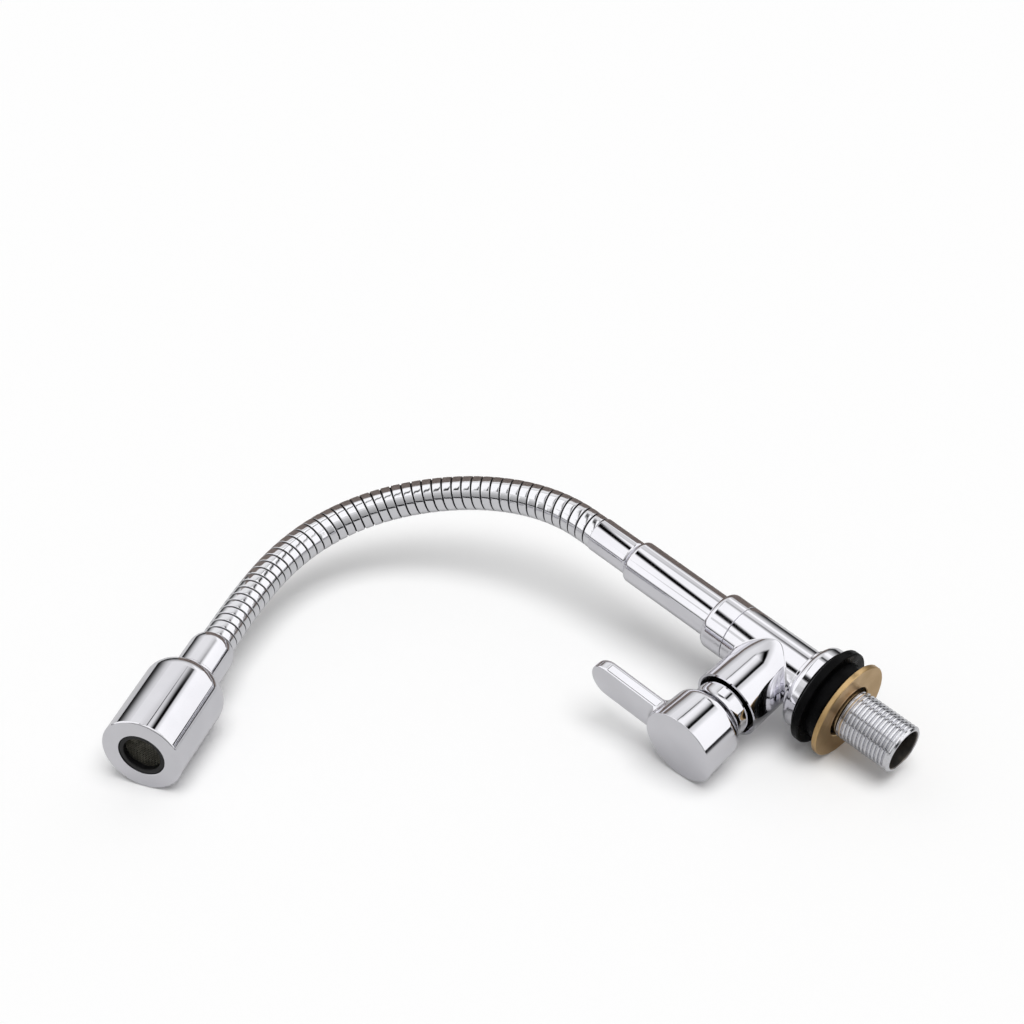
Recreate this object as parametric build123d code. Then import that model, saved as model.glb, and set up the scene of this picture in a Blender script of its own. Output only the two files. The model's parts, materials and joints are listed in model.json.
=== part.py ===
from build123d import *
import math
import os

# Pillar tap with a flexible ribbed spout, in millimetres.
# The deck plane is z = 0, the shank points down, the branch and the spout face -Y.

# Shank with its G1/2 thread
thread_crest_radius = 10.4775
thread_root_radius = 9.32
thread_pitch = 1.814
thread_land = 0.302
thread_bottom = -34.7
thread_turns = 14
thread_fade_radius = 10.1
shank_bottom = -36.0
shank_top = 14.0
shank_rim_radius = 9.75
shank_bore_radius = 8.6
shank_mouth_radius = 9.0
shank_mouth_depth = 0.5
plain_shank_radius = 9.9

# Washer, gasket, seal and flange on the deck
washer_radius = 20.75
washer_hole_radius = 11.3
washer_bottom = -9.0
washer_top = -6.7
washer_edge = 0.3
gasket_radius = 21.0
gasket_boss_radius = 16.75
gasket_hole_radius = 10.9
gasket_boss_bottom = -5.5
gasket_top = 3.9
gasket_boss_round = 1.2
gasket_lower_round = 0.7
gasket_upper_round = 1.2
flange_seal_radius = 18.4
flange_seal_hole_radius = 11.0
flange_seal_round = 0.5
flange_bottom = 5.4
flange_radius = 18.1
flange_shelf = 11.4
flange_round = 3.1
flange_step_radius = 14.2
flange_step_round = 0.4
flange_top = 13.1
flange_hole_radius = 12.0

# Body with its side branch
body_radius = 12.5
body_top = 47.3
body_spigot_radius = 11.9
body_spigot_bottom = 6.0
socket_radius = 9.98
socket_top = 15.8
inlet_passage_radius = 8.0
inlet_passage_top = 35.2
stem_bore_bottom = 37.2
collar_thread_radius = 11.2
collar_thread_top = 53.0
branch_height = 28.1
branch_length = 30.5
branch_mouth_radius = 14.75
branch_waist_radius = 14.35
branch_waist = 13.5
branch_root_radius = 12.4
branch_swell_radius = 13.78
branch_swell = 6.7
recess_radius = 13.7
recess_floor = 26.0
chamber_radius = 11.2
chamber_floor = 13.5
seat_hole_radius = 6.5
outlet_passage_radius = 2.8
outlet_passage_start = (0, -16.0, 36.5)
outlet_passage_end = (0, -6.0, 40.0)
body_seam_round = 1.0

# Collar, stem and spout tube
running_gap = 0.08
plain_gap = 0.1
close_gap = 0.05
tube_radius = 9.5
tube_bottom = 38.0
tube_top = 103.6
tube_shoulder_round = 2.0
tube_foot_round = 0.5
tube_bore_radius = 8.3
tube_bore_bottom = 59.0
tube_bore_top = 95.0
tube_bore_slope = 2.0
tube_socket_radius = 6.2
collar_bottom = 47.6
collar_top = 59.2
collar_bore_radius = 11.35
collar_ceiling = 55.8
collar_lower_round = 0.2
collar_upper_round = 2.8
stem_bore_radius = 6.5
stem_groove_radius = 7.9
stem_groove_heights = (41.8, 46.3)
stem_groove_width = 2.6
ring_groove_bottom = 53.2
ring_groove_top = 54.6
ring_groove_radius = 8.9
split_ring_radius = 10.9
split_ring_gap = 3.0
glide_ring_bottom = 54.7

# Ferrule and ribbed hose
ferrule_radius = 7.65
ferrule_bottom = 104.0
ferrule_top = 124.3
ferrule_spigot_radius = 6.1
ferrule_spigot_bottom = 97.5
ferrule_bore_radius = 3.0
ferrule_bore_top = 112.0
ferrule_foot_round = 1.4
ferrule_top_round = 0.5
ferrule_seal_height = 100.2
ferrule_seal_width = 1.6
ferrule_seal_groove_radius = 5.2
ferrule_seal_section = 0.45
hose_radius = 7.3
hose_groove_radius = 6.7
hose_bore_radius = 5.0
hose_tail_radius = 6.0
hose_tail_length = 3.0
hose_segments = 16
segment_length = 13.3
ribs_per_segment = 3
rib_slope = 0.5
joint_half_gap = 1.0
joint_overlap = 0.5
ball_radius = 6.2
cup_radius = 6.3
ball_root = 0.6
ball_reach = 2.5
hose_turn = 114.3
bend_terms = (0.178, -0.344, 0.344)
bend_share = 0.45
hose_sag = -11.1
hose_drift = -1.6
water_tube_radius = 4.0
water_tube_bore_radius = 2.6
water_tube_socket_radius = 4.05

# Spray head, measured from the hose's end towards the face
head_length = 66.5
sleeve_profile = ((7.9, 0), (9.0, 1.0), (9.8, 3.6))
sleeve_radius = 9.9
sleeve_rounds = (3.0, 8.0, 0.3)
sleeve_bore_radius = 6.4
sleeve_floor = 8.0
band_start = 19.5
band_radius = 10.4
band_groove_radius = 9.9
band_ridge = 1.3
band_round = 0.3
bell_start = 22.5
bell_radius = 17.1
bell_back_radius = 10.6
bell_shoulder_length = 7.5
bell_face_round = 0.8
bell_opening_round = 0.2
bell_socket_depth = 9.0
bell_hollow_radius = 13.8
bell_hollow_start = 34.0
bell_throat_radius = 8.0
bell_throat_length = 1.5
bell_hollow_slope = 2.0
water_tube_end = 6.0
nipple_thread_radius = 6.9
nipple_thread_end = 30.4
nipple_thread_edge = 0.5
nipple_shoulder_radius = 6.3
nipple_tail_radius = 2.55
nipple_tail_bore_radius = 1.6
nipple_bore_radius = 3.5
nipple_bore_floor = 10.0
nipple_bore_slope = 2.0
nipple_seal_station = 27.9
nipple_seal_width = 1.4
nipple_seal_groove_radius = 5.7
nipple_seal_section = 0.6

# Aerator, its depths measured back from the head's face
aerator_opening_radius = 9.95
aerator_seat_depth = 13.5
aerator_seal_hole_radius = 6.6
aerator_seal_round = 0.3
cage_radius = 9.8
cage_bore_radius = 8.5
cage_rim_radius = 7.9
cage_rim_length = 2.4
cage_front_depth = 0.4
cage_back_depth = 12.5
cage_back_hole_radius = 5.5
cage_back_thickness = 1.0
cage_edge_round = 0.4
screen_pitch = 1.0
screen_wire = 0.35
screen_thickness = 0.4
diffuser_depth = 7.0
diffuser_thickness = 2.0
diffuser_hole_radius = 0.7
diffuser_rings = ((3.2, 6), (6.2, 14))

# Cartridge in the branch, measured from the pillar's axis towards the handle
disc_radius = 8.6
disc_thickness = 2.5
seal_floor = 15.2
valve_seal_round = 0.3
disc_split = 18.2
port_inner_radius = 2.4
port_outer_radius = 6.8
port_wedge_length = 12.0
port_wedge_half_width = 8.5
port_half_depth = 5.0
drive_slot_length = 12.4
drive_slot_width = 3.2
drive_slot_depth = 1.0
cartridge_cup_radius = 9.6
cartridge_cup_ceiling = 22.8
cartridge_shoulder = 23.2
cartridge_land_radius = 11.1
cartridge_flange_radius = 13.2
cartridge_flange_end = 27.6
cartridge_edge_round = 0.5
cartridge_barrel_radius = 8.0
barrel_end = 38.0
window_station = 19.5
window_width = 8.0
window_height = 4.0
land_seal_station = 24.6
land_seal_width = 1.4
land_seal_groove_radius = 10.0
land_seal_section = 0.6
spindle_radius = 4.0
spindle_end = 49.4
spindle_foot = 20.85
spindle_head_radius = 6.5
spindle_head_end = 22.6
spindle_tongue = (12.0, 3.0, 1.0)
spindle_seal_station = 25.8
spindle_seal_width = 1.6
spindle_seal_groove_radius = 2.9
spindle_seal_section = 0.55
clip_groove_radius = 3.3
clip_groove_start = 38.2
clip_groove_end = 39.2
clip_radius = 5.6
clip_start = 38.3
clip_end = 39.1
clip_mouth = 3.4
spline_radius = 3.9
spindle_flat_offset = 3.3

# Handle
neck_radius = 12.1
neck_start = 28.6
neck_end = 38.2
neck_wall = 1.4
neck_hollow_end = 40.0
neck_hub_round = 5.5
hub_back = 41.4
hub_face = 59.4
hub_back_radius = 15.6
hub_front_radius = 16.5
hub_back_round = 4.5
hub_face_round = 0.3
lever_width = 16.2
lever_thickness = 6.2
lever_length = 49.5
lever_setback = 3.7
lever_front_round = 1.1
lever_back_round = 2.5
lever_root_round = 3.0
hub_bore_start = 39.0
hub_bore_end = 50.5
bush_radius = 5.45
bush_start = 40.2
bush_end = 50.2
bush_key = (4.0, 1.2, 8.0)
bush_key_offset = 4.0
grub_radius = 2.5
grub_length = 7.0
grub_point = 0.5
grub_socket_radius = 1.45
grub_socket_depth = 2.0
grub_station = 46.0


def turned(outline, rounds=()):
    # outline holds (radius, height) corners, rounds holds (corner number, radius) pairs
    face = make_face(Polyline(*[(r, 0, z) for r, z in outline], close=True))
    for number, radius in rounds:
        r, z = outline[number]
        corner = face.vertices().sort_by_distance((r, 0, z))[0]
        face = fillet(corner, radius)
    return revolve(face, Axis.Z)


def ring(inner, outer, bottom, top, rounds=()):
    return turned([(inner, bottom), (outer, bottom), (outer, top), (inner, top)], rounds)


def rod(radius, bottom, top):
    return Pos(0, 0, (bottom + top) / 2) * Cylinder(radius, top - bottom)


def rubber_ring(middle_radius, section_radius, height):
    return Pos(0, 0, height) * Torus(middle_radius, section_radius)


def on_branch(part):
    # a part built upwards is laid along the branch, towards -Y
    return Location((0, 0, branch_height), (90, 0, 0)) * part


# Inlet side

def threaded_shank():
    # from a bevelled end band the thread runs up to the washer, where it fades into the plain shank
    flank = (thread_pitch - 2 * thread_land) / 2
    bevel = thread_crest_radius - shank_rim_radius
    outline = [
        (shank_mouth_radius, shank_bottom),
        (shank_rim_radius, shank_bottom),
        (thread_crest_radius, shank_bottom + bevel),
    ]
    for turn in range(thread_turns):
        start = thread_bottom + turn * thread_pitch
        outline.append((thread_crest_radius, start))
        outline.append((thread_root_radius, start + flank))
        outline.append((thread_root_radius, start + flank + thread_land))
        outline.append((thread_crest_radius, start + 2 * flank + thread_land))
    fade = thread_bottom + thread_turns * thread_pitch
    outline.append((thread_crest_radius, fade))
    outline.append((plain_shank_radius, fade + flank))
    outline.append((thread_fade_radius, fade + 2 * flank))
    outline.append((plain_shank_radius, fade + 3 * flank))
    outline.append((plain_shank_radius, shank_top))
    outline.append((shank_bore_radius, shank_top))
    outline.append((shank_bore_radius, shank_bottom + shank_mouth_depth))
    print("thread from", shank_bottom + bevel, "to", round(fade, 3))
    return turned(outline)


def brass_washer():
    washer = ring(washer_hole_radius, washer_radius, washer_bottom, washer_top)
    return chamfer(washer.edges().filter_by(GeomType.CIRCLE), washer_edge)


def deck_gasket():
    outline = [
        (gasket_hole_radius, gasket_boss_bottom),
        (gasket_boss_radius, gasket_boss_bottom),
        (gasket_boss_radius, 0),
        (gasket_radius, 0),
        (gasket_radius, gasket_top),
        (gasket_hole_radius, gasket_top),
    ]
    return turned(outline, [(1, gasket_boss_round), (3, gasket_lower_round), (4, gasket_upper_round)])


def flange_seal():
    rounds = [(1, flange_seal_round), (2, flange_seal_round)]
    return ring(flange_seal_hole_radius, flange_seal_radius, gasket_top, flange_bottom, rounds)


def base_flange():
    outline = [
        (flange_hole_radius, flange_bottom),
        (flange_radius, flange_bottom),
        (flange_radius, flange_shelf),
        (flange_step_radius, flange_shelf),
        (flange_step_radius, flange_top),
        (flange_hole_radius, flange_top),
    ]
    return turned(outline, [(2, flange_round), (4, flange_step_round)])


def shank_seal():
    return ring(shank_bore_radius, socket_radius - plain_gap, shank_top, socket_top)


# Body: a pillar with one large branch, and the waterways through both

def branch_form():
    # the side of the branch is a slight cone that rounds in towards the pillar
    root = (branch_root_radius, 0, 0)
    waist = (branch_waist_radius, 0, branch_waist)
    rounding = ThreePointArc(root, (branch_swell_radius, 0, branch_swell), waist)
    sides = Polyline(waist, (branch_mouth_radius, 0, branch_length), (0, 0, branch_length), (0, 0, 0), root)
    return on_branch(revolve(make_face(rounding + sides), Axis.Z))


def tap_body():
    pillar = rod(body_radius, flange_top, body_top)
    branch = branch_form()
    body = pillar + branch
    seam = new_edges(pillar, branch, combined=body)
    body = fillet(seam, body_seam_round)
    body += rod(body_spigot_radius, body_spigot_bottom, flange_top + 1)
    body += rod(collar_thread_radius, body_top - 1, collar_thread_top)
    body -= rod(socket_radius, body_spigot_bottom - 1, socket_top)
    body -= rod(inlet_passage_radius, socket_top - 1, inlet_passage_top)
    body -= rod(tube_radius + running_gap, stem_bore_bottom, collar_thread_top + 1)
    body -= on_branch(rod(seat_hole_radius, 0, chamber_floor + 1))
    body -= on_branch(rod(chamber_radius, chamber_floor, branch_length + 1))
    body -= on_branch(rod(recess_radius, recess_floor, branch_length + 1))
    start = Vector(outlet_passage_start)
    way = Vector(outlet_passage_end) - start
    passage = Cylinder(outlet_passage_radius, way.length, align=(Align.CENTER, Align.CENTER, Align.MIN))
    return body - Plane(start, z_dir=way).location * passage


# Collar and spout stem

def collar_nut():
    hole = tube_radius + running_gap
    outline = [
        (collar_bore_radius, collar_bottom),
        (body_radius, collar_bottom),
        (body_radius, collar_top),
        (hole, collar_top),
        (hole, collar_ceiling),
        (collar_bore_radius, collar_ceiling),
    ]
    return turned(outline, [(1, collar_lower_round), (2, collar_upper_round)])


def glide_ring():
    return ring(tube_radius + plain_gap, collar_bore_radius - plain_gap, glide_ring_bottom, collar_ceiling)


def split_ring():
    bottom = ring_groove_bottom + plain_gap
    top = ring_groove_top - plain_gap
    thickness = split_ring_radius - ring_groove_radius
    gap = Pos(-split_ring_radius, 0, top) * Box(3 * thickness, split_ring_gap, 3 * (top - bottom))
    return ring(ring_groove_radius, split_ring_radius, bottom, top) - gap


def spout_tube():
    outline = [
        (stem_bore_radius, tube_bottom),
        (tube_radius, tube_bottom),
        (tube_radius, tube_top),
        (tube_socket_radius, tube_top),
        (tube_socket_radius, tube_bore_top + tube_bore_slope),
        (tube_bore_radius, tube_bore_top),
        (tube_bore_radius, tube_bore_bottom),
        (stem_bore_radius, tube_bore_bottom - tube_bore_slope),
    ]
    tube = turned(outline, [(1, tube_foot_round), (2, tube_shoulder_round)])
    for height in stem_groove_heights:
        low = height - stem_groove_width / 2
        tube -= ring(stem_groove_radius, tube_radius + 1, low, low + stem_groove_width)
    return tube - ring(ring_groove_radius, tube_radius + 1, ring_groove_bottom, ring_groove_top)


def spout_orings():
    section = (tube_radius - stem_groove_radius) / 2
    rings = [rubber_ring(stem_groove_radius + section, section, height) for height in stem_groove_heights]
    return rings[0] + rings[1]


def lower_ferrule():
    tail_radius = hose_tail_radius + plain_gap
    tail_floor = ferrule_top - hose_tail_length - plain_gap
    outline = [
        (ferrule_bore_radius, ferrule_spigot_bottom),
        (ferrule_spigot_radius, ferrule_spigot_bottom),
        (ferrule_spigot_radius, ferrule_bottom),
        (ferrule_radius, ferrule_bottom),
        (ferrule_radius, ferrule_top),
        (tail_radius, ferrule_top),
        (tail_radius, tail_floor),
        (water_tube_socket_radius, tail_floor),
        (water_tube_socket_radius, ferrule_bore_top),
        (ferrule_bore_radius, ferrule_bore_top),
    ]
    low = ferrule_seal_height - ferrule_seal_width / 2
    groove = ring(ferrule_seal_groove_radius, ferrule_spigot_radius + 1, low, low + ferrule_seal_width)
    return turned(outline, [(3, ferrule_foot_round), (4, ferrule_top_round)]) - groove


def ferrule_oring():
    middle = ferrule_seal_groove_radius + ferrule_seal_section
    return rubber_ring(middle, ferrule_seal_section, ferrule_seal_height)


# Ribbed hose: short stiff lengths that turn on each other like balls in cups

def hose_directions():
    joints = hose_segments - 1
    weights = []
    for joint in range(1, joints + 1):
        along = (joint - 0.5) / joints
        terms = [size * math.cos(order * math.pi * along) for order, size in enumerate(bend_terms, 1)]
        weights.append(1 + sum(terms))
    directions = [Vector(0, 0, 1)]
    for joint in range(1, joints + 1):
        bend = math.radians(hose_turn) * sum(weights[:joint]) / sum(weights)
        along = joint / joints
        lean = math.radians(hose_sag * math.sin(1.5 * math.pi * along) + hose_drift * along)
        flat = math.cos(lean)
        directions.append(Vector(math.sin(lean), -flat * math.sin(bend), flat * math.cos(bend)))
    return directions


def hose_pivots(directions):
    pivots = [Vector(0, 0, ferrule_top)]
    for direction in directions:
        pivots.append(pivots[-1] + direction * segment_length)
    return pivots


def frame_at(origin, direction):
    # the local X stays as near to the world's X as the direction allows
    across = Vector(1, 0, 0)
    across = across - direction * across.dot(direction)
    return Plane(origin, x_dir=across, z_dir=direction).location


def hose_segment(number):
    first = number == 1
    last = number == hose_segments
    pitch = segment_length / ribs_per_segment
    edges = [pitch * k for k in range(ribs_per_segment + 1)]
    edges[0] += 0 if first else joint_half_gap
    edges[-1] -= 0 if last else joint_half_gap
    circles = [(hose_groove_radius, edges[0])]
    for low, high in zip(edges, edges[1:]):
        circles.append((hose_radius, low + rib_slope))
        circles.append((hose_radius, high - rib_slope))
        circles.append((hose_groove_radius, high))
    segment = loft([Pos(0, 0, z) * Circle(r) for r, z in circles], ruled=True)
    if first:
        segment += rod(hose_tail_radius, -hose_tail_length, joint_overlap)
    else:
        segment -= Sphere(cup_radius)
    if last:
        segment += rod(hose_tail_radius, segment_length - joint_overlap, segment_length + hose_tail_length)
    else:
        ball = Pos(0, 0, segment_length) * Sphere(ball_radius)
        zone = rod(hose_radius, segment_length - joint_half_gap - ball_root, segment_length + ball_reach)
        segment += ball & zone
    return segment - rod(hose_bore_radius, -hose_radius, segment_length + hose_radius)


def water_tube(directions, pivots):
    # straight runs joined by arcs, through the middle of every length of hose
    start = Vector(0, 0, ferrule_bore_top)
    end = pivots[-1] + directions[-1] * water_tube_end
    corners = pivots[1:-1]
    radii = []
    for before, after in zip(directions, directions[1:]):
        turn = math.radians(before.get_angle(after))
        radii.append(bend_share * segment_length / math.tan(turn / 2))
    path = FilletPolyline(start, *corners, end, radius=radii)
    section = Circle(water_tube_radius) - Circle(water_tube_bore_radius)
    print("water tube bends: tightest", round(min(radii), 1), "mm")
    tube = sweep(Plane(start, z_dir=directions[0]) * section, path=path)
    area = math.pi * (water_tube_radius**2 - water_tube_bore_radius**2)
    print("water tube volume over section times length:", round(tube.volume / (area * path.length), 4))
    return tube


# Spray head

def upper_ferrule():
    tail_radius = hose_tail_radius + plain_gap
    way_radius = water_tube_radius + 3 * plain_gap
    outline = [
        (tail_radius, 0),
        *sleeve_profile,
        (sleeve_radius, band_start),
        (sleeve_bore_radius, band_start),
        (sleeve_bore_radius, sleeve_floor),
        (way_radius, sleeve_floor),
        (way_radius, hose_tail_length + plain_gap),
        (tail_radius, hose_tail_length + plain_gap),
    ]
    return turned(outline, list(enumerate(sleeve_rounds, 2)))


def head_band():
    hole = nipple_thread_radius + plain_gap
    outline = [
        (hole, band_start),
        (band_radius, band_start),
        (band_radius, band_start + band_ridge),
        (band_groove_radius, band_start + band_ridge),
        (band_groove_radius, bell_start - band_ridge),
        (band_radius, bell_start - band_ridge),
        (band_radius, bell_start),
        (hole, bell_start),
    ]
    return turned(outline, [(corner, band_round) for corner in (1, 2, 5, 6)])


def head_nipple():
    shoulder = sleeve_floor + plain_gap
    outline = [
        (nipple_tail_bore_radius, -water_tube_end),
        (nipple_tail_radius, -water_tube_end),
        (nipple_tail_radius, shoulder),
        (nipple_shoulder_radius, shoulder),
        (nipple_shoulder_radius, band_start),
        (nipple_thread_radius, band_start),
        (nipple_thread_radius, nipple_thread_end),
        (nipple_bore_radius, nipple_thread_end),
        (nipple_bore_radius, nipple_bore_floor + nipple_bore_slope),
        (nipple_tail_bore_radius, nipple_bore_floor),
    ]
    low = nipple_seal_station - nipple_seal_width / 2
    groove = ring(nipple_seal_groove_radius, nipple_thread_radius + 1, low, low + nipple_seal_width)
    return turned(outline, [(6, nipple_thread_edge)]) - groove


def nipple_oring():
    middle = nipple_seal_groove_radius + nipple_seal_section
    return rubber_ring(middle, nipple_seal_section, nipple_seal_station)


def spray_bell():
    shoulder_end = bell_start + bell_shoulder_length
    socket = nipple_thread_radius + plain_gap
    seat = head_length - aerator_seat_depth
    throat = seat - bell_throat_length
    width = bell_radius - bell_back_radius
    shoulder = EllipticalCenterArc(
        (bell_back_radius, shoulder_end), width, bell_shoulder_length, start_angle=-90, arc_size=90
    )
    walls = Polyline(
        (bell_radius, 0, shoulder_end),
        (bell_radius, 0, head_length),
        (aerator_opening_radius, 0, head_length),
        (aerator_opening_radius, 0, seat),
        (bell_throat_radius, 0, seat),
        (bell_throat_radius, 0, throat),
        (bell_hollow_radius, 0, throat - bell_hollow_slope),
        (bell_hollow_radius, 0, bell_hollow_start),
        (socket, 0, bell_start + bell_socket_depth),
        (socket, 0, bell_start),
        (bell_back_radius, 0, bell_start),
    )
    section = make_face(Plane.XZ * shoulder + walls)
    for radius, size in ((bell_radius, bell_face_round), (aerator_opening_radius, bell_opening_round)):
        corner = section.vertices().sort_by_distance((radius, 0, head_length))[0]
        section = fillet(corner, size)
    return revolve(section, Axis.Z)


def aerator_cage():
    front = head_length - cage_front_depth
    back = head_length - cage_back_depth
    outline = [
        (cage_rim_radius, front),
        (cage_radius, front),
        (cage_radius, back),
        (cage_back_hole_radius, back),
        (cage_back_hole_radius, back + cage_back_thickness),
        (cage_bore_radius, back + cage_back_thickness),
        (cage_bore_radius, front - cage_rim_length),
        (cage_rim_radius, front - cage_rim_length),
    ]
    return turned(outline, [(0, cage_edge_round), (1, cage_edge_round)])


def aerator_screen():
    # one round face with square gaps between its wires, right behind the cage's rim
    front = head_length - cage_front_depth - cage_rim_length - plain_gap
    disc_edge = cage_bore_radius - plain_gap
    side = screen_pitch - screen_wire
    reach = cage_rim_radius - side / 2
    count = int(disc_edge / screen_pitch)
    places = []
    for column in range(-count, count + 1):
        for row in range(-count, count + 1):
            if math.hypot(column, row) * screen_pitch < reach:
                places.append((column * screen_pitch, row * screen_pitch))
    gaps = Sketch() + [Pos(x, y) * Rectangle(side, side) for x, y in places]
    print("screen gaps:", len(places))
    return extrude(Pos(0, 0, front - screen_thickness) * (Circle(disc_edge) - gaps), screen_thickness)


def aerator_diffuser():
    base = head_length - diffuser_depth
    disc = rod(cage_bore_radius - plain_gap, base, base + diffuser_thickness)
    holes = Sketch()
    for radius, count in diffuser_rings:
        holes += PolarLocations(radius, count) * Circle(diffuser_hole_radius)
    return disc - extrude(Pos(0, 0, base - diffuser_thickness) * holes, 3 * diffuser_thickness)


def aerator_seal():
    bottom = head_length - aerator_seat_depth
    rounds = [(1, aerator_seal_round), (2, aerator_seal_round)]
    return ring(aerator_seal_hole_radius, cage_radius, bottom, head_length - cage_back_depth, rounds)


# Quarter-turn cartridge in the branch

def valve_seal():
    rounds = [(1, valve_seal_round), (2, valve_seal_round)]
    return ring(seat_hole_radius + 2 * plain_gap, disc_radius, chamber_floor, seal_floor, rounds)


def disc_ports(bearing):
    # two opposite windows, each a little under a quarter of a ring
    window = ring(port_inner_radius, port_outer_radius, -port_half_depth, port_half_depth)
    corners = Polyline(
        (0, 0),
        (port_wedge_length, -port_wedge_half_width),
        (port_wedge_length, port_wedge_half_width),
        close=True,
    )
    wedge = extrude(make_face(corners), port_half_depth, both=True)
    both = (window & wedge) + (window & Rot(0, 0, 180) * wedge)
    return Rot(0, 0, bearing) * both


def fixed_disc():
    disc = rod(disc_radius, seal_floor, disc_split)
    return disc - Pos(0, 0, (seal_floor + disc_split) / 2) * disc_ports(0)


def moving_disc():
    bottom = disc_split + close_gap
    top = bottom + disc_thickness
    disc = rod(disc_radius, bottom, top)
    slot = Pos(0, 0, top) * Box(drive_slot_length, drive_slot_width, 2 * drive_slot_depth)
    return disc - Pos(0, 0, (bottom + top) / 2) * disc_ports(90) - slot


def cartridge_body():
    inside = disc_radius + plain_gap
    way = spindle_radius + running_gap
    outline = [
        (inside, seal_floor),
        (cartridge_cup_radius, seal_floor),
        (cartridge_cup_radius, cartridge_shoulder),
        (cartridge_land_radius, cartridge_shoulder),
        (cartridge_land_radius, recess_floor),
        (cartridge_flange_radius, recess_floor),
        (cartridge_flange_radius, cartridge_flange_end),
        (cartridge_barrel_radius, cartridge_flange_end),
        (cartridge_barrel_radius, barrel_end),
        (way, barrel_end),
        (way, cartridge_cup_ceiling),
        (inside, cartridge_cup_ceiling),
    ]
    shell = turned(outline, [(6, cartridge_edge_round), (8, cartridge_edge_round)])
    windows = Pos(0, 0, window_station) * Box(window_width, 3 * disc_radius, window_height)
    wall = ring(disc_radius - 1, chamber_radius, seal_floor - 1, cartridge_shoulder)
    low = land_seal_station - land_seal_width / 2
    groove = ring(land_seal_groove_radius, cartridge_land_radius + 1, low, low + land_seal_width)
    return shell - (windows & wall) - groove


def cartridge_oring():
    middle = land_seal_groove_radius + land_seal_section
    return rubber_ring(middle, land_seal_section, land_seal_station)


def spindle():
    low = spindle_seal_station - spindle_seal_width / 2
    outline = [
        (0, spindle_foot),
        (spindle_head_radius, spindle_foot),
        (spindle_head_radius, spindle_head_end),
        (spindle_radius, spindle_head_end),
        (spindle_radius, low),
        (spindle_seal_groove_radius, low),
        (spindle_seal_groove_radius, low + spindle_seal_width),
        (spindle_radius, low + spindle_seal_width),
        (spindle_radius, clip_groove_start),
        (clip_groove_radius, clip_groove_start),
        (clip_groove_radius, clip_groove_end),
        (spline_radius, clip_groove_end),
        (spline_radius, spindle_end),
        (0, spindle_end),
    ]
    length, width, height = spindle_tongue
    tongue = Pos(0, 0, spindle_foot + close_gap - height / 2) * Box(length, width, height)
    flat_end = spindle_end + 1
    flat_start = clip_groove_end - plain_gap
    flat = Box(3 * spline_radius, 2 * spindle_flat_offset, flat_end - flat_start)
    flat = Pos(0, 2 * spindle_flat_offset, (flat_start + flat_end) / 2) * flat
    return turned(outline) + tongue - flat


def spindle_oring():
    middle = spindle_seal_groove_radius + spindle_seal_section
    return rubber_ring(middle, spindle_seal_section, spindle_seal_station)


def spindle_clip():
    mouth = Pos(0, -clip_radius, clip_end) * Box(clip_mouth, clip_radius, clip_radius)
    return ring(clip_groove_radius, clip_radius, clip_start, clip_end) - mouth


# Handle: neck, hub and lever in one casting

def hub_form():
    outline = [
        (0, neck_start),
        (neck_radius, neck_start),
        (neck_radius, neck_end),
        (hub_back_radius, hub_back),
        (hub_front_radius, hub_face),
        (0, hub_face),
    ]
    return turned(outline, [(2, neck_hub_round), (3, hub_back_round), (4, hub_face_round)])


def lever_form():
    # a flat bar with a round end, crisp at the front and well rounded at the back
    tip = lever_length - lever_width / 2
    front = hub_face - lever_setback
    back = front - lever_thickness
    plan = Pos(0, tip) * Circle(lever_width / 2) + Pos(0, tip / 2) * Rectangle(lever_width, tip)
    bar = extrude(Pos(0, 0, back) * plan, lever_thickness)
    bar = fillet(bar.edges().group_by(Axis.Z)[-1], lever_front_round)
    return fillet(bar.edges().group_by(Axis.Z)[0], lever_back_round)


def lever_handle():
    hub = hub_form()
    lever = lever_form()
    handle = hub + lever
    handle = fillet(new_edges(hub, lever, combined=handle), lever_root_round)
    handle -= rod(neck_radius - neck_wall, neck_start - 1, neck_hollow_end)
    handle -= rod(bush_radius + close_gap, hub_bore_start, hub_bore_end)
    screw_way = rod(grub_radius + close_gap, bush_radius, hub_front_radius + 1)
    return handle - Pos(0, 0, grub_station) * Rot(0, -90, 0) * screw_way


def handle_bush():
    bush = ring(spline_radius, bush_radius, bush_start, bush_end)
    key = Pos(0, bush_key_offset, (bush_start + bush_end) / 2) * Box(*bush_key)
    return bush + key


def grub_screw():
    screw = chamfer(rod(grub_radius, 0, grub_length).edges().group_by(Axis.Z)[0], grub_point)
    socket = extrude(RegularPolygon(grub_socket_radius, 6), grub_length)
    screw -= Pos(0, 0, grub_length - grub_socket_depth) * socket
    return Pos(-bush_radius - close_gap, 0, grub_station) * Rot(0, -90, 0) * screw


# Every piece in its place
directions = hose_directions()
pivots = hose_pivots(directions)
head_frame = frame_at(pivots[-1], directions[-1])

parts = {
    "threaded_shank": threaded_shank(),
    "brass_washer": brass_washer(),
    "deck_gasket": deck_gasket(),
    "flange_seal": flange_seal(),
    "base_flange": base_flange(),
    "shank_seal": shank_seal(),
    "tap_body": tap_body(),
    "collar_nut": collar_nut(),
    "glide_ring": glide_ring(),
    "split_ring": split_ring(),
    "spout_tube": spout_tube(),
    "spout_orings": spout_orings(),
    "lower_ferrule": lower_ferrule(),
    "ferrule_oring": ferrule_oring(),
    "inner_tube": water_tube(directions, pivots),
}
for number in range(1, hose_segments + 1):
    place = frame_at(pivots[number - 1], directions[number - 1])
    parts[f"hose_{number:02d}"] = place * hose_segment(number)

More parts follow.
